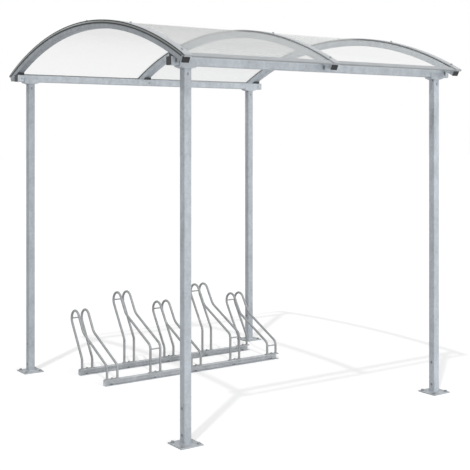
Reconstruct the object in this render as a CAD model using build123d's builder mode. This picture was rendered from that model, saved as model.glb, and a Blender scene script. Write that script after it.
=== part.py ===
from build123d import *
import os
from math import asin, cos, degrees, radians, sin, sqrt

# Bike shelter: a galvanised tube frame, a clear vaulted roof and a five-place bike rack.
# Millimetres. +Z is up, +X runs along the beams, +Y runs from the front to the back.
# The origin is on the ground, at the middle of the four posts.

# Frame
post_spacing_x = 2030.0
post_spacing_y = 2164.0
clear_height = 2170.0  # ground to the underside of the beams

# Square tube of the posts and beams
tube_side = 50.0
tube_wall = 3.0
tube_corner = 5.0  # outside radius
beam_overhang = 112.0  # post centre to the cut end of the beam

# Cross holes low in the posts, for side panels
panel_hole = 12.0  # diameter
panel_hole_low = 58.0  # height above the ground
panel_hole_high = 210.0

# Base plates
plate_side = 150.0
plate_thickness = 8.0
anchor_spacing = 110.0
anchor_hole = 14.0  # diameter

# Saddles at the post heads
cheek_thickness = 5.0
cheek_width = 116.0
cheek_rise = 30.0  # up the side of the beam
cheek_lip = 7.0  # straight edge below the beam
cheek_drop = 16.0  # down the side of the post

# Plastic caps in the beam ends
cap_flange = 3.0
cap_spigot = 16.0
cap_play = 0.4

# Arches
arch_radius = 2676.0  # centreline
arch_width = 50.0
arch_depth = 40.0
arch_wall = 2.5
arch_overhang = 125.0  # beam centre to the cut end of the arch, in plan
arch_end_margin = 8.0  # cut end of the beam to the outer arch
wedge_toe = 3.0  # arch above the beam at its outer edge
wedge_inset = 13.0  # from the beam's inner edge
seat_clearance = 0.3  # between curved faces that seat on each other

# Roof sheets, their rubber profiles and the strips that clamp them
sheet_thickness = 5.0
sheet_overhang = 16.0  # beyond the arch ends, along the curve
sheet_edge_gap = 2.0  # room for the sheet to grow
gasket_lip = 2.0  # under the sheet
gasket_cover = 2.5  # over the sheet
gasket_web = 6.0  # between the sheets
gasket_skirt = 2.0  # on the outer side of an end arch
skirt_drop = 10.0  # below the top of the arch
strip_thickness = 5.0

# Edge trims on the eaves
trim_wall = 2.0
trim_upper_lip = 45.0
trim_lower_lip = 20.0
trim_end_gap = 1.0

# Bike rack
rack_centre_y = 558.0
rack_depth = 389.0  # rail to rail
place_width = 355.0
place_count = 5
rail_width = 40.0
rail_height = 42.0
rail_wall = 3.0
rail_end = 20.0  # rail beyond the outer hoop
rail_hole = 9.0  # diameter
foot_thickness = 4.0  # flat bar that carries the legs of one place
foot_width = 30.0
foot_margin = 7.0  # beyond the legs
hoop_tube = 18.0  # diameter
hoop_sides = 8  # the round tubes and bars are drawn as prisms
hoop_gap = 83.0  # centre to centre across one place
hoop_lean = 33.5  # degrees from upright
back_bend_height = 118.0
front_bend_height = 137.0
high_place_rise = 105.0
hoop_back_run = 355.0
hoop_front_run = 204.0
hairpin_width = 128.0
hairpin_radius_share = 0.49  # of the hairpin's width
leg_bend_radius = 45.0
knee_bend_radius = 90.0
spacer_bar = 10.0  # diameter
spacer_drop = 27.0  # below the front bend

cut_overrun = 5.0

os.makedirs("parts", exist_ok=True)

sides_x = {"left": -1, "right": 1}
sides_y = {"front": -1, "back": 1}
post_x = post_spacing_x / 2
post_y = post_spacing_y / 2
tube_bore = tube_side - 2 * tube_wall
beam_top = clear_height + tube_side
beam_axis_z = clear_height + tube_side / 2
beam_half = post_x + beam_overhang


def square_tube():
    """Cut section of the posts' and beams' tube, about the local origin."""
    RectangleRounded(tube_side, tube_side, tube_corner)
    Rectangle(tube_bore, tube_bore, mode=Mode.SUBTRACT)


# Base plates: cut flat plate with an anchor hole near each corner, welded under the posts
for front_back, side_y in sides_y.items():
    for left_right, side_x in sides_x.items():
        name = f"{front_back}_{left_right}_base_plate"
        with BuildPart() as base_plate:
            with BuildSketch(Plane((side_x * post_x, side_y * post_y, 0))):
                Rectangle(plate_side, plate_side)
                with GridLocations(anchor_spacing, anchor_spacing, 2, 2):
                    Circle(anchor_hole / 2, mode=Mode.SUBTRACT)
            extrude(amount=plate_thickness)
        base_plate.part.label = name
        export_step(base_plate.part, f"parts/{name}.step")

# Posts: square tube, drilled through from side to side for side panels
drill_length = tube_side + 2 * cut_overrun
for front_back, side_y in sides_y.items():
    for left_right, side_x in sides_x.items():
        name = f"{front_back}_{left_right}_post"
        foot = Plane((side_x * post_x, side_y * post_y, plate_thickness))
        with BuildPart() as post:
            with BuildSketch(foot):
                square_tube()
            extrude(amount=clear_height - plate_thickness)
            for height in (panel_hole_low, panel_hole_high):
                with Locations((side_x * post_x, side_y * post_y, height)):
                    Cylinder(panel_hole / 2, drill_length, rotation=(0, 90, 0), mode=Mode.SUBTRACT)
        post.part.label = name
        export_step(post.part, f"parts/{name}.step")

# Beams: the same tube, lying on the post heads along the front and the back
for front_back, side_y in sides_y.items():
    name = f"{front_back}_beam"
    with BuildPart() as beam:
        with BuildSketch(Plane((0, side_y * post_y, beam_axis_z), x_dir=(0, 1, 0), z_dir=(1, 0, 0))):
            square_tube()
        extrude(amount=beam_half, both=True)
    beam.part.label = name
    export_step(beam.part, f"parts/{name}.step")

# Beam caps: a moulded plug in each end of a beam
for front_back, side_y in sides_y.items():
    name = f"{front_back}_beam_caps"
    with BuildPart() as beam_caps:
        for side_x in sides_x.values():
            end_centre = (side_x * beam_half, side_y * post_y, beam_axis_z)
            end = Plane(end_centre, x_dir=(0, 1, 0), z_dir=(side_x, 0, 0))
            with BuildSketch(end):
                RectangleRounded(tube_side, tube_side, tube_corner)
            extrude(amount=cap_flange)
            with BuildSketch(end):
                Rectangle(tube_bore - 2 * cap_play, tube_bore - 2 * cap_play)
            extrude(amount=-cap_spigot)
    beam_caps.part.label = name
    export_step(beam_caps.part, f"parts/{name}.step")

# Post heads: a welded saddle with a cheek on the front and the back of the post and the beam, and
# a gusset on each side of the post
cheek_half = cheek_width / 2
saddle_depth = tube_side + 2 * cheek_thickness
for front_back, side_y in sides_y.items():
    for left_right, side_x in sides_x.items():
        name = f"{front_back}_{left_right}_post_head"
        head_centre = (side_x * post_x, side_y * post_y, clear_height)
        with BuildPart() as post_head:
            with BuildSketch(Plane(head_centre, x_dir=(1, 0, 0), z_dir=(0, -1, 0))):
                with BuildLine():
                    Polyline(
                        (-cheek_half, cheek_rise),
                        (-cheek_half, -cheek_lip),
                        (-tube_side / 2, -cheek_drop),
                        (tube_side / 2, -cheek_drop),
                        (cheek_half, -cheek_lip),
                        (cheek_half, cheek_rise),
                        close=True,
                    )
                make_face()
            extrude(amount=saddle_depth / 2, both=True)
            with Locations(head_centre):
                Box(
                    cheek_width,
                    tube_side,
                    cheek_rise,
                    align=(Align.CENTER, Align.CENTER, Align.MIN),
                    mode=Mode.SUBTRACT,
                )
                Box(
                    tube_side,
                    tube_side,
                    cheek_drop,
                    align=(Align.CENTER, Align.CENTER, Align.MAX),
                    mode=Mode.SUBTRACT,
                )
        post_head.part.label = name
        export_step(post_head.part, f"parts/{name}.step")

# The vault: every curved piece of the roof turns about one axis along X
under_radius = arch_radius - arch_depth / 2
vault_axis_z = beam_top + wedge_toe - sqrt(under_radius**2 - (post_y + tube_side / 2) ** 2)
vault_axis = Axis((0, 0, vault_axis_z), (1, 0, 0))
arch_angle = asin((post_y + arch_overhang) / arch_radius)
arch_x = beam_half - arch_end_margin - arch_width / 2
arches_x = {"left": -arch_x, "middle": 0, "right": arch_x}

gasket_inner = arch_radius + arch_depth / 2 + seat_clearance
sheet_inner = gasket_inner + gasket_lip + seat_clearance
sheet_outer = sheet_inner + sheet_thickness
gasket_outer = sheet_outer + seat_clearance + gasket_cover
strip_inner = gasket_outer + seat_clearance
sheet_angle = arch_angle + sheet_overhang / sheet_inner


def radial_plane(angle):
    """Plane through the vault's axis: local x along the shelter, local y out from the axis."""
    return Plane((0, 0, vault_axis_z), x_dir=(1, 0, 0), z_dir=(0, -cos(angle), sin(angle)))


def vault(angle):
    """Turns the sketch at the back end of the vault round to its front end."""
    revolve(axis=vault_axis, revolution_arc=2 * degrees(angle))


# Arches: rectangular tube rolled to the vault's radius, one over each end and one in the middle
for place, x in arches_x.items():
    name = f"{place}_arch"
    with BuildPart() as arch:
        with BuildSketch(radial_plane(arch_angle)):
            with Locations((x, arch_radius)):
                Rectangle(arch_width, arch_depth)
                Rectangle(arch_width - 2 * arch_wall, arch_depth - 2 * arch_wall, mode=Mode.SUBTRACT)
        vault(arch_angle)
    arch.part.label = name
    export_step(arch.part, f"parts/{name}.step")

# Arch plugs: a moulded plug in each end of an arch
for place, x in arches_x.items():
    name = f"{place}_arch_plugs"
    with BuildPart() as arch_plugs:
        for side_y in sides_y.values():
            end_y = side_y * arch_radius * sin(arch_angle)
            end_z = vault_axis_z + arch_radius * cos(arch_angle)
            outward = (0, side_y * cos(arch_angle), -sin(arch_angle))
            end = Plane((x, end_y, end_z), x_dir=(1, 0, 0), z_dir=outward)
            with BuildSketch(end):
                Rectangle(arch_width, arch_depth)
            extrude(amount=cap_flange)
            with BuildSketch(end):
                Rectangle(arch_width - 2 * (arch_wall + cap_play), arch_depth - 2 * (arch_wall + cap_play))
            extrude(amount=-cap_spigot)
    arch_plugs.part.label = name
    export_step(arch_plugs.part, f"parts/{name}.step")

# Arch wedges: moulded blocks that fill the slope between the beam and the arch
wedge_radius = under_radius - seat_clearance


def wedge_top(y):
    """Height of the wedge's curved top at a distance from the vault's middle."""
    return vault_axis_z + sqrt(wedge_radius**2 - y**2)


wedge_in = post_y - tube_side / 2 + wedge_inset
wedge_out = post_y + tube_side / 2
wedge_middle = (wedge_in + wedge_out) / 2
for place, x in arches_x.items():
    name = f"{place}_arch_wedges"
    with BuildPart() as arch_wedges:
        for side_y in sides_y.values():
            with BuildSketch(Plane((x, 0, 0), x_dir=(0, 1, 0), z_dir=(1, 0, 0))):
                with BuildLine():
                    Polyline(
                        (side_y * wedge_in, wedge_top(wedge_in)),
                        (side_y * wedge_in, beam_top),
                        (side_y * wedge_out, beam_top),
                        (side_y * wedge_out, wedge_top(wedge_out)),
                    )
                    ThreePointArc(
                        (side_y * wedge_out, wedge_top(wedge_out)),
                        (side_y * wedge_middle, wedge_top(wedge_middle)),
                        (side_y * wedge_in, wedge_top(wedge_in)),
                    )
                make_face()
            extrude(amount=arch_width / 2, both=True)
    arch_wedges.part.label = name
    export_step(arch_wedges.part, f"parts/{name}.step")

# Gaskets: rubber profiles under and over the sheets. A web joins them between the two sheets on
# the middle arch, and a skirt hangs over the outer side of each end arch.
for place, x in arches_x.items():
    name = f"{place}_gasket"
    with BuildPart() as gasket:
        with BuildSketch(radial_plane(sheet_angle)):
            with Locations((x, gasket_inner)):
                Rectangle(arch_width, gasket_lip, align=(Align.CENTER, Align.MIN))
            with Locations((x, gasket_outer)):
                Rectangle(arch_width, gasket_cover, align=(Align.CENTER, Align.MAX))
            if place in sides_x:
                skirt_x = x + sides_x[place] * (arch_width + gasket_skirt) / 2
                with Locations((skirt_x, gasket_inner - skirt_drop)):
                    Rectangle(gasket_skirt, skirt_drop + gasket_lip, align=(Align.CENTER, Align.MIN))
            else:
                with Locations((x, gasket_inner)):
                    Rectangle(gasket_web, gasket_outer - gasket_inner, align=(Align.CENTER, Align.MIN))
        vault(sheet_angle)
    gasket.part.label = name
    export_step(gasket.part, f"parts/{name}.step")

# Roof sheets: clear plastic bent over the arches, one for each bay
sheet_out = arch_x + arch_width / 2
sheet_in = gasket_web / 2 + sheet_edge_gap
sheet_middle = sheet_inner + sheet_thickness / 2
for left_right, side_x in sides_x.items():
    name = f"{left_right}_roof_sheet"
    with BuildPart() as roof_sheet:
        with BuildSketch(radial_plane(sheet_angle)):
            with Locations((side_x * (sheet_out + sheet_in) / 2, sheet_middle)):
                Rectangle(sheet_out - sheet_in, sheet_thickness)
        vault(sheet_angle)
    roof_sheet.part.label = name
    export_step(roof_sheet.part, f"parts/{name}.step")

# Clamping strips: a flat metal bar over each arch that holds the gasket down on the sheets
for place, x in arches_x.items():
    name = f"{place}_clamping_strip"
    with BuildPart() as clamping_strip:
        with BuildSketch(radial_plane(sheet_angle)):
            with Locations((x, strip_inner)):
                Rectangle(arch_width, strip_thickness, align=(Align.CENTER, Align.MIN))
        vault(sheet_angle)
    clamping_strip.part.label = name
    export_step(clamping_strip.part, f"parts/{name}.step")

# Eave trims: folded metal edges on the sheets' lower ends, from arch to arch
trim_mouth = sheet_thickness + 2 * seat_clearance
trim_out = arch_x - arch_width / 2 - trim_end_gap
trim_in = arch_width / 2 + trim_end_gap
for front_back, side_y in sides_y.items():
    for left_right, side_x in sides_x.items():
        name = f"{front_back}_{left_right}_eave_trim"
        eave = Plane(
            (
                side_x * (trim_out + trim_in) / 2,
                side_y * sheet_middle * sin(sheet_angle),
                vault_axis_z + sheet_middle * cos(sheet_angle),
            ),
            x_dir=(0, side_y * cos(sheet_angle), -sin(sheet_angle)),
            z_dir=(side_y, 0, 0),
        )
        with BuildPart() as eave_trim:
            with BuildSketch(eave):
                with BuildLine():
                    Polyline(
                        (-trim_upper_lip, trim_mouth / 2),
                        (seat_clearance, trim_mouth / 2),
                        (seat_clearance, -trim_mouth / 2),
                        (-trim_lower_lip, -trim_mouth / 2),
                        (-trim_lower_lip, -trim_mouth / 2 - trim_wall),
                        (seat_clearance + trim_wall, -trim_mouth / 2 - trim_wall),
                        (seat_clearance + trim_wall, trim_mouth / 2 + trim_wall),
                        (-trim_upper_lip, trim_mouth / 2 + trim_wall),
                        close=True,
                    )
                make_face()
            extrude(amount=(trim_out - trim_in) / 2, both=True)
        eave_trim.part.label = name
        export_step(eave_trim.part, f"parts/{name}.step")

# Rack rails: steel channel on the ground, mouth to the front, an anchor hole at each place
rails_y = {"front": rack_centre_y - rack_depth / 2, "back": rack_centre_y + rack_depth / 2}
places_x = [place_width * (number - (place_count - 1) / 2) for number in range(place_count)]
rail_half = places_x[-1] + hoop_gap / 2 + rail_end
for front_back, y in rails_y.items():
    name = f"{front_back}_rack_rail"
    with BuildPart() as rack_rail:
        with BuildSketch(Plane((0, y, rail_height / 2), x_dir=(0, 1, 0), z_dir=(1, 0, 0))):
            Rectangle(rail_width, rail_height)
            with Locations((-rail_wall, 0)):
                Rectangle(rail_width, rail_height - 2 * rail_wall, mode=Mode.SUBTRACT)
        extrude(amount=rail_half, both=True)
        with Locations(*[(place_x, y, rail_wall / 2) for place_x in places_x]):
            Cylinder(rail_hole / 2, rail_wall + 2 * cut_overrun, mode=Mode.SUBTRACT)
    rack_rail.part.label = name
    export_step(rack_rail.part, f"parts/{name}.step")

# Rack hoops: each place is two bent round tubes side by side, joined by two bars and standing on
# two flat feet. Every second place is higher than its neighbours.
lean = radians(hoop_lean)
hairpin_half = hairpin_width / 2
leg_foot = rail_height + foot_thickness
foot_length = hoop_gap + hoop_tube + 2 * foot_margin
for number, place_x in enumerate(places_x, start=1):
    name = f"rack_hoops_{number}"
    rise = 0 if number % 2 else high_place_rise
    back_y = rails_y["back"]
    front_y = rails_y["front"]
    bend_z = back_bend_height + rise
    front_bend_z = front_bend_height + rise
    top_back_y = back_y + hoop_back_run * sin(lean)
    top_back_z = bend_z + hoop_back_run * cos(lean)
    top_front_y = top_back_y - hairpin_width * cos(lean)
    top_front_z = top_back_z + hairpin_width * sin(lean)
    knee_y = top_front_y - hoop_front_run * sin(lean)
    knee_z = top_front_z - hoop_front_run * cos(lean)
    hairpin_y = (top_back_y + top_front_y) / 2 - hairpin_half * sin(lean)
    hairpin_z = (top_back_z + top_front_z) / 2 - hairpin_half * cos(lean)
    bars = [
        Plane((place_x, hairpin_y + hairpin_half, hairpin_z), z_dir=(1, 0, 0)),
        Plane((place_x, front_y, front_bend_z - spacer_drop), z_dir=(1, 0, 0)),
    ]
    with BuildPart() as rack_hoops:
        for side_x in sides_x.values():
            hoop_x = place_x + side_x * hoop_gap / 2
            with BuildLine(Plane((hoop_x, 0, 0), x_dir=(0, 1, 0), z_dir=(1, 0, 0))):
                FilletPolyline(
                    (back_y, leg_foot),
                    (back_y, bend_z),
                    (top_back_y, top_back_z),
                    (top_front_y, top_front_z),
                    (knee_y, knee_z),
                    (front_y, front_bend_z),
                    (front_y, leg_foot),
                    radius=[
                        leg_bend_radius,
                        hairpin_radius_share * hairpin_width,
                        hairpin_radius_share * hairpin_width,
                        knee_bend_radius,
                        leg_bend_radius,
                    ],
                )
            with BuildSketch(Plane((hoop_x, back_y, leg_foot))):
                RegularPolygon(hoop_tube / 2, hoop_sides)
            sweep()
        with BuildSketch(*bars):
            RegularPolygon(spacer_bar / 2, hoop_sides)
        extrude(amount=hoop_gap / 2, both=True)
        with Locations((place_x, back_y, rail_height), (place_x, front_y, rail_height)):
            Box(foot_length, foot_width, foot_thickness, align=(Align.CENTER, Align.CENTER, Align.MIN))
    rack_hoops.part.label = name
    export_step(rack_hoops.part, f"parts/{name}.step")
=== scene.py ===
import math

import bpy
import numpy as np
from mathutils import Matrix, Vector


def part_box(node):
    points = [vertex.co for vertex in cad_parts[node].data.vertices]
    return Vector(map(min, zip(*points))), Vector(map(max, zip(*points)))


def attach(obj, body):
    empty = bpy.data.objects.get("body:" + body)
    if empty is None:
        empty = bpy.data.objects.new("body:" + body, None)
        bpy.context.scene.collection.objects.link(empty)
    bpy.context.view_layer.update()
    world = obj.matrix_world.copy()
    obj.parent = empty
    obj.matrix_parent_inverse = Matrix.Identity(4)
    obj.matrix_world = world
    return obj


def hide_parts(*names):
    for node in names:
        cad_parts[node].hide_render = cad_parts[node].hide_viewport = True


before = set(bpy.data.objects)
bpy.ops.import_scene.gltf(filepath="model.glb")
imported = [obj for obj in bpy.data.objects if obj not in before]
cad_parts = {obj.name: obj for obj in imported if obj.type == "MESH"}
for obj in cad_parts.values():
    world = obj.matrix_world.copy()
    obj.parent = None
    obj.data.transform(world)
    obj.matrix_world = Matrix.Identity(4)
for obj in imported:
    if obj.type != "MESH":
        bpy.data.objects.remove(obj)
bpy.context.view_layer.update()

# Base plates
# Square plates of 8 mm steel, flame cut and hot-dip galvanised with the post that is welded on
# them. The zinc is dull blue-grey, with faint crystals and cloudy streaks from the bath.
CORNERS = ("front_left", "front_right", "back_left", "back_right")
X, Y, Z = np.eye(3)


class Socket:
    """An output of a material's node; arithmetic on it adds Math nodes to that material."""

    def __init__(self, tree, link=None):
        self.tree = tree
        self.link = link

    def node(self, kind, settings, sockets, output=0):
        """A node of the kind, its settings first, then a value or a link for each named socket."""
        made = self.tree.nodes.new("ShaderNode" + kind)
        for name, value in settings.items():
            setattr(made, name, value)
        for name, value in sockets.items():
            if isinstance(value, Socket):
                self.tree.links.new(value.link, made.inputs[name])
            else:
                made.inputs[name].default_value = value
        return Socket(self.tree, made.outputs[output] if made.outputs else None)

    def math(self, operation, left, right):
        return self.node("Math", {"operation": operation}, {0: left, 1: right})

    def __add__(self, other):
        return self.math("ADD", self, other)

    def __sub__(self, other):
        return self.math("SUBTRACT", self, other)

    def __rsub__(self, other):
        return self.math("SUBTRACT", other, self)

    def __mul__(self, other):
        return self.math("MULTIPLY", self, other)

    def __pow__(self, other):
        return self.math("POWER", self, other)

    __radd__ = __add__
    __rmul__ = __mul__


def finish(name):
    """A new material with no nodes, and the Socket that adds nodes to it."""
    material = bpy.data.materials.new(name)
    material.use_nodes = True
    material.node_tree.nodes.clear()
    return material, Socket(material.node_tree)


def coat(material, *nodes):
    """Gives CAD nodes their finish."""
    for node in nodes:
        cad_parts[node].material_slots[0].material = material


def galvanised(name, level, blue):
    """Zinc from the bath: clouds drawn out along Z, and crystals a few millimetres across. Level is
    how light it is, and blue how much of red goes over to blue."""
    material, tree = finish(name)
    place = tree.node("TexCoord", {}, {}, "Object")
    drips = tree.node("Mapping", {}, {"Vector": place, "Scale": (1.0, 1.0, 0.4)})
    clouds = tree.node(
        "TexNoise", {}, {"Vector": drips, "Scale": 16.0, "Detail": 4.0, "Roughness": 0.6}
    )
    crystals = tree.node("TexVoronoi", {}, {"Vector": place, "Scale": 70.0}, "Color")
    tone = 1.5 * (clouds - 0.5) + 0.35 * (crystals - 0.5) + 0.5
    tint = level * np.array((1 - blue, 1.0, 1 + blue))
    dull, bright = [(*(grey * tint), 1.0) for grey in (0.46, 0.695)]
    colour = tree.node("Mix", {"data_type": "RGBA"}, {0: tone, 6: dull, 7: bright}, 2)
    gloss = 0.62 - 0.16 * crystals
    shader = tree.node(
        "BsdfPrincipled", {}, {"Base Color": colour, "Metallic": 0.15, "Roughness": gloss}
    )
    tree.node("OutputMaterial", {}, {"Surface": shader})
    return material


zinc = galvanised("galvanised_steel", 0.82, 0.06)
coat(zinc, *[f"{corner}_base_plate" for corner in CORNERS])

# Anchor bolts
# Galvanised M12 hexagon bolts with flat washers, one through each corner of a base plate into
# the footing below.
anchor_spacing = 0.11
washer_radius, washer_height = 0.012, 0.0025
head_radius, head_height, head_bevel, head_taper = 0.0104, 0.0075, 0.0012, 0.88
bolt_zinc = galvanised("bolt_zinc", 0.56, 0.03)


def piece(name, surfaces, material, slot, *nodes):
    """One mesh of several closed surfaces, each a pair of points and blocks of faces. It is shaded
    smooth up to its sharp corners, and stands for the CAD nodes that are named."""
    starts = np.cumsum([0] + [len(points) for points, blocks in surfaces])
    faces = []
    for (points, blocks), start in zip(surfaces, starts):
        for block in blocks:
            faces += (block + start).tolist()
    mesh = bpy.data.meshes.new(name)
    mesh.from_pydata(np.concatenate([points for points, blocks in surfaces]).tolist(), [], faces)
    mesh.polygons.foreach_set("use_smooth", np.ones(len(faces), bool))
    mesh.set_sharp_from_angle(angle=math.radians(35))
    mesh.materials.append(material)
    made = bpy.data.objects.new(name, mesh)
    bpy.context.collection.objects.link(made)
    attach(made, "root")
    if nodes:
        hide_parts(*nodes)
    return made


def carried(path, side, out, section, scale=1.0):
    """A closed section carried along a path: point = path + (side * across + out * up) * scale, one
    row of points at each station of the path. Flat caps close both ends. Side, out and the path's
    direction are right-handed, and the section runs counter-clockwise, so the faces point out."""
    across, up = section[None, :, :1], section[None, :, 1:]
    points = path[:, None] + (across * side[:, None] + up * out[:, None]) * scale
    index = np.arange(points.shape[0] * points.shape[1]).reshape(points.shape[:2])
    ahead = np.roll(index, -1, axis=1)
    walls = np.stack([index[:-1], ahead[:-1], ahead[1:], index[1:]], axis=-1).reshape(-1, 4)
    caps = np.stack([index[0, ::-1], index[-1]])
    return points.reshape(-1, 3), [walls, caps]


def polygon(sides):
    """Regular polygon of radius 1: (cos, sin) of equal turns."""
    turn = np.arange(sides) * 2 * np.pi / sides
    return np.stack([np.cos(turn), np.sin(turn)], axis=-1)


def turned(profile, base, axis, side, sides=24):
    """A form about an axis: a regular polygon whose size and height at each station are the
    profile's (radius, height), set out from the base along the axis."""
    radius, height = np.array(profile).T
    path = np.array(base) + height[:, None] * axis
    ones = np.ones((len(height), 1))
    out = np.cross(axis, side)
    return carried(path, ones * side, ones * out, polygon(sides), radius[:, None, None])


def bolt(base, axis, side, size=1.0):
    """A washer, and a hexagon head on it with a bevelled top."""
    washer = [(washer_radius, 0.0), (washer_radius, washer_height)]
    top = washer_height + head_height
    head = [(head_radius, washer_height), (head_radius, top - head_bevel)]
    head.append((head_radius * head_taper, top))
    return [
        turned(np.array(washer) * size, base, axis, side),
        turned(np.array(head) * size, base, axis, side, 6),
    ]


for corner in CORNERS:
    low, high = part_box(f"{corner}_base_plate")
    centre = np.array((low + high) / 2)
    bolts = []
    for step_x in (-anchor_spacing / 2, anchor_spacing / 2):
        for step_y in (-anchor_spacing / 2, anchor_spacing / 2):
            bolts += bolt((centre[0] + step_x, centre[1] + step_y, high.z), Z, X)
    piece(f"{corner}_anchor_bolts", bolts, bolt_zinc, "galvanised_steel")

# Posts
# 50 mm square steel tube with a 3 mm wall, drilled low down for side panels. Each is welded all
# round to its base plate. Grey plugs close those holes and the oval slots under the beam, and black
# plugs its vents.
# Each post has its own zinc level as painted light and shade, lit and shaded copies of one zinc:
# the back left post darkest, the front right lightest.
POST_LIGHT_AND_SHADE = {"front_left": 0.86, "front_right": 0.96, "back_left": 0.76, "back_right": 0.84}
for corner, level in POST_LIGHT_AND_SHADE.items():
    coat(galvanised(f"{corner}_post_zinc_painted_light_and_shade", level, 0.08), f"{corner}_post")
weld_radius = 0.004
weld_ripple = 0.0006
ripple_length = 0.006
vent_drop, vent_radius, vent_shift, vent_proud = 0.021, 0.004, 0.012, 0.001
slot_drop, slot_width, slot_height = 0.047, 0.008, 0.018
plug_proud = 0.0015
panel_heights, panel_plug_radius = (0.058, 0.21), 0.009


def weld(start, end):
    """A round bead from start to end whose radius swells in ripples: radius + ripple * sin."""
    start, end = np.array(start), np.array(end)
    run = np.linalg.norm(end - start)
    share = np.linspace(0, 1, int(run / ripple_length * 4))[:, None]
    side = np.ones_like(share) * (Z if abs(end[2] - start[2]) < run / 2 else X)
    out = np.cross((end - start) / run, side)
    swell = weld_radius + weld_ripple * np.sin(share * run / ripple_length * 2 * np.pi)
    return carried(start + share * (end - start), side, out, polygon(8), swell[:, :, None])


plastic, tree = finish("black_plastic")
place = tree.node("TexCoord", {}, {}, "Object")
grain = tree.node("TexNoise", {}, {"Vector": place, "Scale": 900.0, "Detail": 2.0})
relief = tree.node("Bump", {}, {"Height": grain, "Strength": 0.15, "Distance": 0.0004})
shader = tree.node(
    "BsdfPrincipled",
    {},
    {"Base Color": (0.016, 0.018, 0.021, 1.0), "Roughness": 0.5, "Normal": relief},
)
tree.node("OutputMaterial", {}, {"Surface": shader})
grey, tree = finish("grey_plastic")
grey_colour = (0.23, 0.24, 0.255, 1.0)
shader = tree.node("BsdfPrincipled", {}, {"Base Color": grey_colour, "Roughness": 0.5})
tree.node("OutputMaterial", {}, {"Surface": shader})


def rounded(width, height, radius, steps=5):
    """Rounded rectangle as a closed loop: a quarter circle at each corner, centred a radius in."""
    turn = np.radians(np.arange(4)[:, None] * 90 + np.linspace(0, 90, steps))
    quarters = np.array([(1, 1), (-1, 1), (-1, -1), (1, -1)])
    centre = quarters * (width / 2 - radius, height / 2 - radius)
    loop = centre[:, None] + radius * np.stack([np.cos(turn), np.sin(turn)], axis=-1)
    return loop.reshape(-1, 2)


def oval(base, outward, width, height):
    """An upright oval plug: a rectangle with nearly half-round ends, set out from its base."""
    path = np.array(base) + np.array([[0.0], [plug_proud]]) * outward
    ones = np.ones((2, 1))
    outline = rounded(width, height, 0.49 * width)
    return carried(path, np.cross(Z, outward) * ones, Z * ones, outline)


for corner in CORNERS:
    low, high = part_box(f"{corner}_post")
    middle = (low + high) / 2
    foot = [(low.x, low.y), (high.x, low.y), (high.x, high.y), (low.x, high.y)]
    beads = [weld((*a, low.z), (*b, low.z)) for a, b in zip(foot, foot[1:] + foot[:1])]
    piece(f"{corner}_post_weld", beads, zinc, "galvanised_steel")
    vent = [(vent_radius, 0.0), (vent_radius, vent_proud)]
    vents = [
        turned(vent, (face, middle.y - vent_shift, high.z - vent_drop), axis, Z)
        for face, axis in ((low.x, -X), (high.x, X))
    ]
    piece(f"{corner}_vent_plugs", vents, plastic, "black_plastic")
    slots = [
        oval((middle.x, face, high.z - slot_drop), outward, slot_width, slot_height)
        for face, outward in ((low.y, -Y), (high.y, Y))
    ]
    piece(f"{corner}_slot_plugs", slots, grey, "black_plastic")
    disc = np.array([(1.0, 0.0), (1.0, 0.6), (0.8, 1.0)]) * (panel_plug_radius, plug_proud)
    discs = [
        turned(disc, (face, middle.y, height), axis, Z)
        for face, axis in ((low.x, -X), (high.x, X))
        for height in panel_heights
    ]
    piece(f"{corner}_panel_plugs", discs, grey, "black_plastic")

# Post heads
# A welded saddle on each post: 5 mm cheeks with sloping lower corners hold the beam between them,
# and a gusset on each side of the post carries it.
head_zinc = galvanised("head_zinc", 0.97, 0.075)
coat(head_zinc, *[f"{corner}_post_head" for corner in CORNERS])

# Beams
# The same square tube, laid in the saddles along the front and the back. Under each arch an oval
# grey plug closes the bolt's slot in the outer face, and its round head is on the inner face.
# Both beams' zinc is set lighter than the plates' as painted light against the shade under the
# eaves, the front beam most.
for beam, level in (("front_beam", 1.09), ("back_beam", 1.0)):
    coat(galvanised(f"{beam}_zinc", level, 0.075), beam)
dark_zinc = galvanised("dull_galvanised_steel", 0.64, 0.03)
bolt_slot_width, bolt_slot_height, bolt_slot_drop = 0.013, 0.027, 0.022
dome_radius, dome_height = 0.0065, 0.004
dome = np.array([(1.0, 0.0), (0.92, 0.45), (0.7, 0.8), (0.4, 1.0)])
ARCHES = ("left", "middle", "right")
for beam, outward in (("front_beam", -Y), ("back_beam", Y)):
    low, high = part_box(beam)
    outer_y, inner_y = (low.y, high.y) if beam == "front_beam" else (high.y, low.y)
    plugs, heads = [], []
    for arch in ARCHES:
        arch_low, arch_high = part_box(f"{arch}_arch")
        middle_x = (arch_low.x + arch_high.x) / 2
        outer_base = (middle_x, outer_y, high.z - bolt_slot_drop)
        plugs.append(oval(outer_base, outward, bolt_slot_width, bolt_slot_height))
        inner_base = (middle_x, inner_y, (low.z + high.z) / 2)
        heads.append(turned(dome * (dome_radius, dome_height), inner_base, -outward, Z))
    piece(f"{beam}_slot_plugs", plugs, grey, "black_plastic")
    piece(f"{beam}_bolt_heads", heads, dark_zinc, "galvanised_steel")

# Beam caps
# Ribbed plugs of black polyethylene, pressed into the open ends of the beams.
coat(plastic, "front_beam_caps", "back_beam_caps")

# Arches
# Rectangular steel tube rolled to one radius and galvanised, 50 mm wide and 40 mm deep. The left,
# the middle and the right arch stand across the two beams.
# Each arch has its own zinc level as painted light and shade: the left arch, seen on its outer
# side, is darkened as painted shade, and the right arch is lightened as painted light.
ARCH_LIGHT_AND_SHADE = {"left": 0.68, "middle": 1.02, "right": 1.12}
vault_radius = 2.676
arch_width, arch_depth, arch_corner = 0.05, 0.04, 0.0045
vault_stations = 121
arch_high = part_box("middle_arch")[1]
vault_axis_z = arch_high.z - vault_radius - arch_depth / 2


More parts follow.
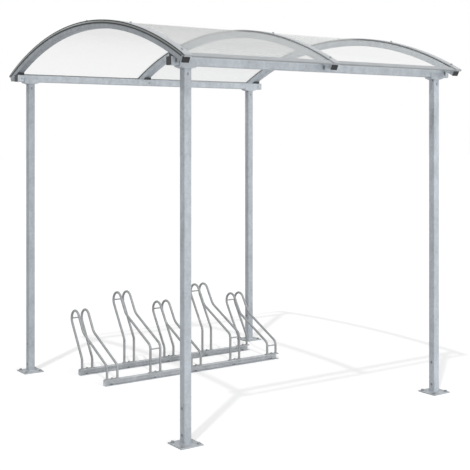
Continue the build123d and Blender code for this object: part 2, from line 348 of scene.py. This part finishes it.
def vaulted(middle_x, radius, reach_y, section):
    """A section carried over the vault from the back to the front: point = axis + radius times
    (sin, cos) of the angle, from the angle whose sine is reach / radius to its opposite."""
    reach = math.asin(reach_y / radius)
    angle = np.linspace(reach, -reach, vault_stations)[:, None]
    out = Y * np.sin(angle) + Z * np.cos(angle)
    path = middle_x * X + vault_axis_z * Z + radius * out
    return carried(path, X * np.ones_like(angle), out, section)


arch_reach = arch_high.y * vault_radius / (vault_radius + arch_depth / 2)
for arch in ARCHES:
    low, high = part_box(f"{arch}_arch")
    section = rounded(arch_width, arch_depth, arch_corner)
    tube = vaulted((low.x + high.x) / 2, vault_radius, arch_reach, section)
    arch_zinc_painted_light_and_shade = galvanised(f"{arch}_arch_zinc_painted_light_and_shade", ARCH_LIGHT_AND_SHADE[arch], 0.08)
    piece(f"{arch}_arch_tube", [tube], arch_zinc_painted_light_and_shade, "galvanised_steel", f"{arch}_arch")

# Arch plugs and wedges
# Moulded black plugs close the arch ends, and moulded black wedges fill the slope between the
# arch and the beam that it is bolted to.
for arch in ARCHES:
    coat(plastic, f"{arch}_arch_plugs", f"{arch}_arch_wedges")

# Gaskets
# Extruded black rubber over the sheets' edges, with a web between the two sheets on the middle
# arch, and a bead and a skirt outside the end arches. The sheets lie on a seat tape whose pale
# colour is a painted highlight along the top corner of each arch tube.
rubber, tree = finish("black_rubber")
rubber_colour = (0.045, 0.046, 0.048, 1.0)
shader = tree.node("BsdfPrincipled", {}, {"Base Color": rubber_colour, "Roughness": 0.7})
tree.node("OutputMaterial", {}, {"Surface": shader})
# The seat tape's pale colour is a painted highlight, standing in for light on the arch tube's top
# corner.
seat_highlight, tree = finish("seat_tape_painted_highlight")
seat_highlight_colour = (0.72, 0.73, 0.72, 1.0)
shader = tree.node("BsdfPrincipled", {}, {"Base Color": seat_highlight_colour, "Roughness": 0.9})
tree.node("OutputMaterial", {}, {"Surface": shader})
gasket_lip, gasket_cover, gasket_web = 0.002, 0.0025, 0.006
gasket_skirt, skirt_drop = 0.002, 0.01
bead_rise, cover_inset, edge_stop = 0.0035, 0.0006, 0.012
sheet_thickness, seat_clearance, soft_edge = 0.005, 0.0003, 0.0004
seat_radius = vault_radius + arch_depth / 2 + gasket_lip
sheet_radius = seat_radius + 2 * seat_clearance + sheet_thickness / 2
slot_half = sheet_thickness / 2 + seat_clearance
gasket_half, gasket_edge = arch_width / 2, arch_width / 2 + gasket_skirt


def gasket_cover_outline(side):
    """Outline of the rubber over the sheets, about the middle of their thickness: a bar with a web
    under its middle, or for the arch at one side a plain bar that meets the bead."""
    inset, top = gasket_half - cover_inset, slot_half + gasket_cover
    if side == 0:
        web = gasket_web / 2
        right = [(web, -slot_half), (web, slot_half), (inset, slot_half), (inset, top)]
        return np.array(right + [(-x, y) for x, y in right[::-1]])
    bar = [(-inset, slot_half), (gasket_half, slot_half), (gasket_half, top), (-inset, top)]
    return np.array(bar) if side > 0 else np.array(bar[::-1]) * (-1, 1)


skirt_height, bead_height = skirt_drop + gasket_lip, gasket_cover + bead_rise
edge_middle = (gasket_half + gasket_edge) / 2
seat = rounded(arch_width, gasket_lip, soft_edge, 2) - (0.0, slot_half + gasket_lip / 2)
skirt = rounded(gasket_skirt, skirt_height, soft_edge, 2) - (0.0, slot_half + skirt_height / 2)
bead = rounded(gasket_skirt, bead_height, soft_edge, 2) + (0.0, slot_half + bead_height / 2)
for arch, side in zip(ARCHES, (-1, 0, 1)):
    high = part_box(f"{arch}_gasket")[1]
    arch_low, arch_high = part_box(f"{arch}_arch")
    reach = high.y * sheet_radius / (high.z - vault_axis_z)
    middle_x = (arch_low.x + arch_high.x) / 2
    profiles = [vaulted(middle_x, sheet_radius, reach, gasket_cover_outline(side))]
    if side != 0:
        edge_x = middle_x + side * edge_middle
        for edging in (skirt, bead):
            profiles.append(vaulted(edge_x, sheet_radius, arch_high.y - edge_stop, edging))
    piece(f"{arch}_gasket_profile", profiles, rubber, "black_rubber", f"{arch}_gasket")
    seat_tape = vaulted(middle_x, sheet_radius, reach, seat)
    piece(f"{arch}_seat_tape", [seat_tape], seat_highlight, "black_rubber")

# Roof sheets
# Clear plastic, 5 mm thick and slightly milky, bent cold over the arches with one sheet to a bay.
# Looked through it is nearly clear, and looked along it turns pale, more so at the front of the
# left sheet and at the back of the right one. A tape seals the sawn edge at the outer side of each
# end arch; its colour is painted light: a glow of the sheet's edge, lighter towards the back, with
# a painted highlight around the crown.
SHEET_FILMS = {
    "left": {"front_film": 0.15, "back_film": 0.0, "edge_milk": 0.18, "level": 0.74},
    "right": {"front_film": 0.0, "back_film": 0.25, "edge_milk": 0.12, "level": 0.86},
}


def milky(name, front_film, back_film, edge_milk, level):
    """Clear plastic: a little milk everywhere, more of it where the sheet is looked along, and a
    film that goes from one amount at the front eave to another at the back. Level is how light
    the milk is."""
    material, tree = finish(name)
    place = tree.node("TexCoord", {}, {}, "Object")
    along = tree.node("SeparateXYZ", {}, {0: place}, "Y")
    front = tree.math("MINIMUM", tree.math("MAXIMUM", 0.5 - 2.0 * along, 0.0), 1.0)
    film = back_film + (front_film - back_film) * front
    facing = 1.28 * tree.node("LayerWeight", {}, {"Blend": 0.5}, "Facing")
    haze = 0.06 + edge_milk * tree.math("MINIMUM", facing**8, 1.0)
    haze = haze + film * tree.math("MINIMUM", facing**3, 1.0)
    through = tree.node("BsdfTransparent", {}, {"Color": (0.986, 0.988, 0.986, 1.0)})
    white = (level, level * 1.01, level * 1.005, 1.0)
    milk = tree.node(
        "BsdfPrincipled",
        {},
        {"Base Color": white, "Roughness": 0.3, "Specular IOR Level": 0.0},
    )
    glow = tree.node("BsdfTranslucent", {}, {"Color": white})
    milk = tree.node("MixShader", {}, {0: 0.3, 1: milk, 2: glow})
    shader = tree.node("MixShader", {}, {0: haze, 1: through, 2: milk})
    tree.node("OutputMaterial", {}, {"Surface": shader})
    return material


tape, tree = finish("edge_tape_painted_glow")
place = tree.node("TexCoord", {}, {}, "Object")
along = tree.node("SeparateXYZ", {}, {0: place}, "Y")
# Painted light: the tape's colour paints the glow of the sheet's sawn edge, lighter towards the
# back, and the bump around the crown is a painted highlight.
crown_y, crown_fall = 0.08, 14.0
front_tone, back_gain, crown_highlight_gain = 0.28, 0.14, 0.16
crown_highlight = tree.math("MAXIMUM", 1 - crown_fall * (along - crown_y) ** 2, 0.0)
back = tree.math("MINIMUM", tree.math("MAXIMUM", 2.0 * along + 0.5, 0.0), 1.0)
tone = front_tone + back_gain * back + crown_highlight_gain * crown_highlight
black, pale_green = (0.0, 0.0, 0.0, 1.0), (0.9, 1.0, 0.97, 1.0)
colour = tree.node("Mix", {"data_type": "RGBA"}, {0: tone, 6: black, 7: pale_green}, 2)
shader = tree.node("BsdfPrincipled", {}, {"Base Color": colour, "Roughness": 0.35})
tree.node("OutputMaterial", {}, {"Surface": shader})
sheet_edge = 0.0006
tape_width, tape_height, tape_drop = 0.0052, 0.0085, 0.0015
for name, side in (("left", -1), ("right", 1)):
    low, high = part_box(f"{name}_roof_sheet")
    reach = high.y * sheet_radius / (sheet_radius + sheet_thickness / 2)
    section = rounded(high.x - low.x, sheet_thickness, sheet_edge, 2)
    sheet = vaulted((low.x + high.x) / 2, sheet_radius, reach, section)
    clear = milky(f"{name}_clear_plastic", **SHEET_FILMS[name])
    piece(f"{name}_clear_sheet", [sheet], clear, "clear_plastic", f"{name}_roof_sheet")
    outer_x = low.x if side < 0 else high.x
    section = rounded(tape_width, tape_height, soft_edge, 2) - (0.0, tape_drop)
    tape_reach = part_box(f"{name}_arch")[1].y - edge_stop
    edge = vaulted(outer_x, sheet_radius, tape_reach, section)
    piece(f"{name}_sheet_tape", [edge], tape, "clear_plastic")

# Clamping strips
# Flat aluminium bars over each arch, drawn down on the rubber by five dome-headed screws so that
# the sheets are held. A small plate closes each end.


def aluminium(name, level):
    """Mill-finished aluminium with faint clouds; level is how light it is."""
    material, tree = finish(name)
    place = tree.node("TexCoord", {}, {}, "Object")
    clouds = tree.node("TexNoise", {}, {"Vector": place, "Scale": 12.0, "Detail": 3.0})
    tone = 1.4 * (clouds - 0.5) + 0.5
    greys = level * np.array([(0.33, 0.35, 0.37), (0.42, 0.44, 0.46)])
    dull, bright = [(*grey, 1.0) for grey in greys]
    colour = tree.node("Mix", {"data_type": "RGBA"}, {0: tone, 6: dull, 7: bright}, 2)
    shader = tree.node(
        "BsdfPrincipled", {}, {"Base Color": colour, "Metallic": 0.1, "Roughness": 0.32}
    )
    tree.node("OutputMaterial", {}, {"Surface": shader})
    return material


strip_metal = aluminium("strip_aluminium", 1.2)
strip_thickness, strip_lip, strip_corner = 0.005, 0.0022, 0.0015
end_height, end_thickness = 0.0135, 0.002
screw_spacing, screw_radius, screw_height, screw_sink = 0.584, 0.008, 0.011, 0.001
for arch in ARCHES:
    low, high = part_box(f"{arch}_clamping_strip")
    middle_x = (low.x + high.x) / 2
    outer = high.z - vault_axis_z
    depth = strip_thickness + strip_lip
    radius = outer - depth / 2
    section = rounded(arch_width, depth, strip_corner)
    strip = vaulted(middle_x, radius, high.y * radius / outer, section)
    ends = []
    for side in (-1, 1):
        angle = side * math.asin(high.y / outer)
        out = Y * math.sin(angle) + Z * math.cos(angle)
        along = side * (Y * math.cos(angle) - Z * math.sin(angle))
        path = middle_x * X + vault_axis_z * Z + (outer - end_height / 2) * out
        path = path + np.array([[0.0], [end_thickness]]) * along
        across = np.cross(out, along)
        section = rounded(arch_width, end_height, strip_corner)
        ones = np.ones((2, 1))
        ends.append(carried(path, across * ones, out * ones, section))
    piece(f"{arch}_strip", [strip, *ends], strip_metal, "aluminium", f"{arch}_clamping_strip")
    screws = []
    for step in range(-2, 3):
        angle = math.asin(step * screw_spacing / outer)
        out = Y * math.sin(angle) + Z * math.cos(angle)
        base = middle_x * X + vault_axis_z * Z + (outer - screw_sink) * out
        screws.append(turned(dome * (screw_radius, screw_height), base, out, X))
    piece(f"{arch}_strip_screws", screws, dark_zinc, "galvanised_steel")

# Eave trims
# Folded aluminium edges pushed on the lower ends of the sheets, from arch to arch.
trim_metal = aluminium("trim_aluminium", 0.92)
coat(trim_metal, *[f"{corner}_eave_trim" for corner in CORNERS])

# Rack rails
# Galvanised steel channel on the ground with its mouth to the front. A bolt inside the channel
# anchors it at each place.
coat(galvanised("rail_zinc", 0.98, 0.04), "front_rack_rail", "back_rack_rail")
PLACES = (1, 2, 3, 4, 5)
rail_wall, rail_bolt_size = 0.003, 0.75
for side in ("front", "back"):
    low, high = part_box(f"{side}_rack_rail")
    bolts = []
    for number in PLACES:
        hoop_low, hoop_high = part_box(f"rack_hoops_{number}")
        base = ((hoop_low.x + hoop_high.x) / 2, (low.y + high.y) / 2, low.z + rail_wall)
        bolts += bolt(base, Z, X, rail_bolt_size)
    piece(f"{side}_rail_anchors", bolts, bolt_zinc, "galvanised_steel")

# Rack hoops
# Round steel tube bent to a leaning hairpin on two legs, two to a place. Flat bars
# under the legs are bolted to the rails, and two round bars join each pair.
tube_radius, spacer_radius = 0.009, 0.005
hoop_gap, hairpin_width = 0.083, 0.128
back_bend_height, front_bend_height, high_place_rise = 0.118, 0.137, 0.105
hoop_back_run, hoop_front_run = 0.355, 0.204
hoop_lean = math.radians(33.5)
leg_bend, hairpin_bend, knee_bend = 0.045, 0.49 * hairpin_width, 0.09
spacer_drop = 0.027
foot_thickness, foot_width, foot_margin, foot_corner = 0.004, 0.03, 0.007, 0.004
foot_bolt_size = 0.85
leg_weld = np.array([(0.003, 0.0), (0.0022, 0.0022), (0.0, 0.003)]) + (tube_radius, 0.0)


def bent(corners, bends, steps=12):
    """A bar bent at its inner corners: the straight runs join circles of the bend's radius, whose
    centre lies on the corner's bisector. Gives the points and the directions along the bar."""
    corners = np.array(corners)
    runs = np.diff(corners, axis=0)
    runs = runs / np.linalg.norm(runs, axis=1, keepdims=True)
    points, ways = [corners[:1]], [runs[:1]]
    for corner, before, after, bend in zip(corners[1:-1], runs[:-1], runs[1:], bends):
        turn = math.acos(np.clip(before @ after, -1, 1))
        inward = (after - before) / np.linalg.norm(after - before)
        centre = corner + inward * bend / math.cos(turn / 2)
        spoke = corner - before * bend * math.tan(turn / 2) - centre
        share = np.linspace(0, turn, steps)[:, None]
        points.append(centre + spoke * np.cos(share) + before * bend * np.sin(share))
        ways.append(before * np.cos(share) - spoke / bend * np.sin(share))
    points.append(corners[-1:])
    ways.append(runs[-1:])
    return np.concatenate(points), np.concatenate(ways)


rails = {side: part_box(f"{side}_rack_rail") for side in ("front", "back")}
back_y = (rails["back"][0].y + rails["back"][1].y) / 2
front_y = (rails["front"][0].y + rails["front"][1].y) / 2
foot_z = rails["front"][1].z
leg_z = foot_z + foot_thickness
lean_sin, lean_cos = math.sin(hoop_lean), math.cos(hoop_lean)
for number in PLACES:
    low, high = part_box(f"rack_hoops_{number}")
    middle_x = (low.x + high.x) / 2
    rise = 0.0 if number % 2 else high_place_rise
    bend_z, front_bend_z = back_bend_height + rise, front_bend_height + rise
    top_back = np.array((back_y + hoop_back_run * lean_sin, bend_z + hoop_back_run * lean_cos))
    top_front = top_back + hairpin_width * np.array((-lean_cos, lean_sin))
    knee = top_front - hoop_front_run * np.array((lean_sin, lean_cos))
    corners = [
        (back_y, leg_z),
        (back_y, bend_z),
        top_back,
        top_front,
        knee,
        (front_y, front_bend_z),
        (front_y, leg_z),
    ]
    bends = [leg_bend, hairpin_bend, hairpin_bend, knee_bend, leg_bend]
    flat_path, flat_way = bent(corners, bends)
    hairpin = (top_back + top_front) / 2
    hairpin = hairpin + hairpin_width / 2 * np.array((1 - lean_sin, -lean_cos))
    surfaces = []
    for side in (-1, 1):
        hoop_x = middle_x + side * hoop_gap / 2
        path = hoop_x * X + flat_path[:, :1] * Y + flat_path[:, 1:] * Z
        way = flat_way[:, :1] * Y + flat_way[:, 1:] * Z
        across = X * np.ones((len(path), 1))
        surfaces.append(carried(path, across, np.cross(way, across), polygon(16) * tube_radius))
        for leg_y in (back_y, front_y):
            surfaces.append(turned(leg_weld, (hoop_x, leg_y, leg_z), Z, X, 16))
    for bar_y, bar_z in (hairpin, (front_y, front_bend_z - spacer_drop)):
        bar = [(spacer_radius, -hoop_gap / 2), (spacer_radius, hoop_gap / 2)]
        surfaces.append(turned(bar, (middle_x, bar_y, bar_z), X, Y, 16))
    foot_half = hoop_gap / 2 + tube_radius + foot_margin
    for leg_y in (back_y, front_y):
        path = np.array([(middle_x, leg_y, foot_z), (middle_x, leg_y, leg_z)])
        outline = rounded(2 * foot_half, foot_width, foot_corner)
        ones = np.ones((2, 1))
        surfaces.append(carried(path, X * ones, Y * ones, outline))
        surfaces += bolt((middle_x, leg_y, leg_z), Z, X, foot_bolt_size)
    name = f"rack_hoop_pair_{number}"
    piece(name, surfaces, dark_zinc, "galvanised_steel", f"rack_hoops_{number}")

# Floor
# A plain pale studio floor. It is white to the camera and to gloss, and keeps the faint shadows.
floor_half, floor_glow = 60.0, 0.52


def looked_at(tree):
    """One for rays from the camera and those that gloss or glass sends on, and none for light."""
    rays = [
        tree.node("LightPath", {}, {}, f"Is {kind} Ray")
        for kind in ("Camera", "Glossy", "Transmission")
    ]
    return rays[0] + rays[1] + rays[2]


floor_mesh = bpy.data.meshes.new("floor")
floor_mesh.from_pydata(
    [(x * floor_half, y * floor_half, 0.0) for x, y in ((-1, -1), (1, -1), (1, 1), (-1, 1))],
    [],
    [(0, 1, 2, 3)],
)
floor = bpy.data.objects.new("floor", floor_mesh)
bpy.context.collection.objects.link(floor)
pale, tree = finish("pale_floor")
matt = tree.node("BsdfDiffuse", {}, {"Color": (0.62, 0.62, 0.62, 1.0)})
glow = tree.node("Emission", {}, {"Strength": looked_at(tree) * floor_glow})
shader = tree.node("AddShader", {}, {0: matt, 1: glow})
tree.node("OutputMaterial", {}, {"Surface": shader})
floor_mesh.materials.append(pale)

# Light
# A high sun from the front left draws the faint shadows, a broad soft light from the front right
# lifts the front faces, and the pale room gives the rest.
for name, travel, strength, angle in (
    ("high_sun", (0.3875, 0.316, -0.866), 1.05, 1.6),
    ("front_light", (-0.3, 0.9, -0.3), 1.6, 60.0),
):
    lamp = bpy.data.lights.new(name, "SUN")
    lamp.energy = strength
    lamp.angle = math.radians(angle)
    lit = bpy.data.objects.new(name, lamp)
    lit.rotation_mode = "QUATERNION"
    lit.rotation_quaternion = Vector(travel).to_track_quat("-Z", "Y")
    bpy.context.collection.objects.link(lit)

world = bpy.data.worlds.new("pale_room")
bpy.context.scene.world = world
world.use_nodes = True
world.node_tree.nodes.clear()
tree = Socket(world.node_tree)
room_level = 0.4
level = room_level + (1 - room_level) * looked_at(tree)
room = tree.node("Background", {}, {"Color": (1.0, 1.0, 1.0, 1.0), "Strength": level})
tree.node("OutputWorld", {}, {"Surface": room})

# Camera
# At eye height on the left of the front, where the photograph was taken from.
camera = bpy.data.cameras.new("camera")
camera.sensor_width = 36.0
camera.lens = 76.4
camera.shift_x = 0.01
camera.shift_y = -0.2129
eye = bpy.data.objects.new("camera", camera)
eye.location = (-4.0899, -5.9058, 1.774)
eye.rotation_euler = (math.radians(90), 0.0, math.radians(-35.08))
bpy.context.collection.objects.link(eye)
bpy.context.scene.camera = eye
bpy.context.scene.view_settings.view_transform = "Standard"
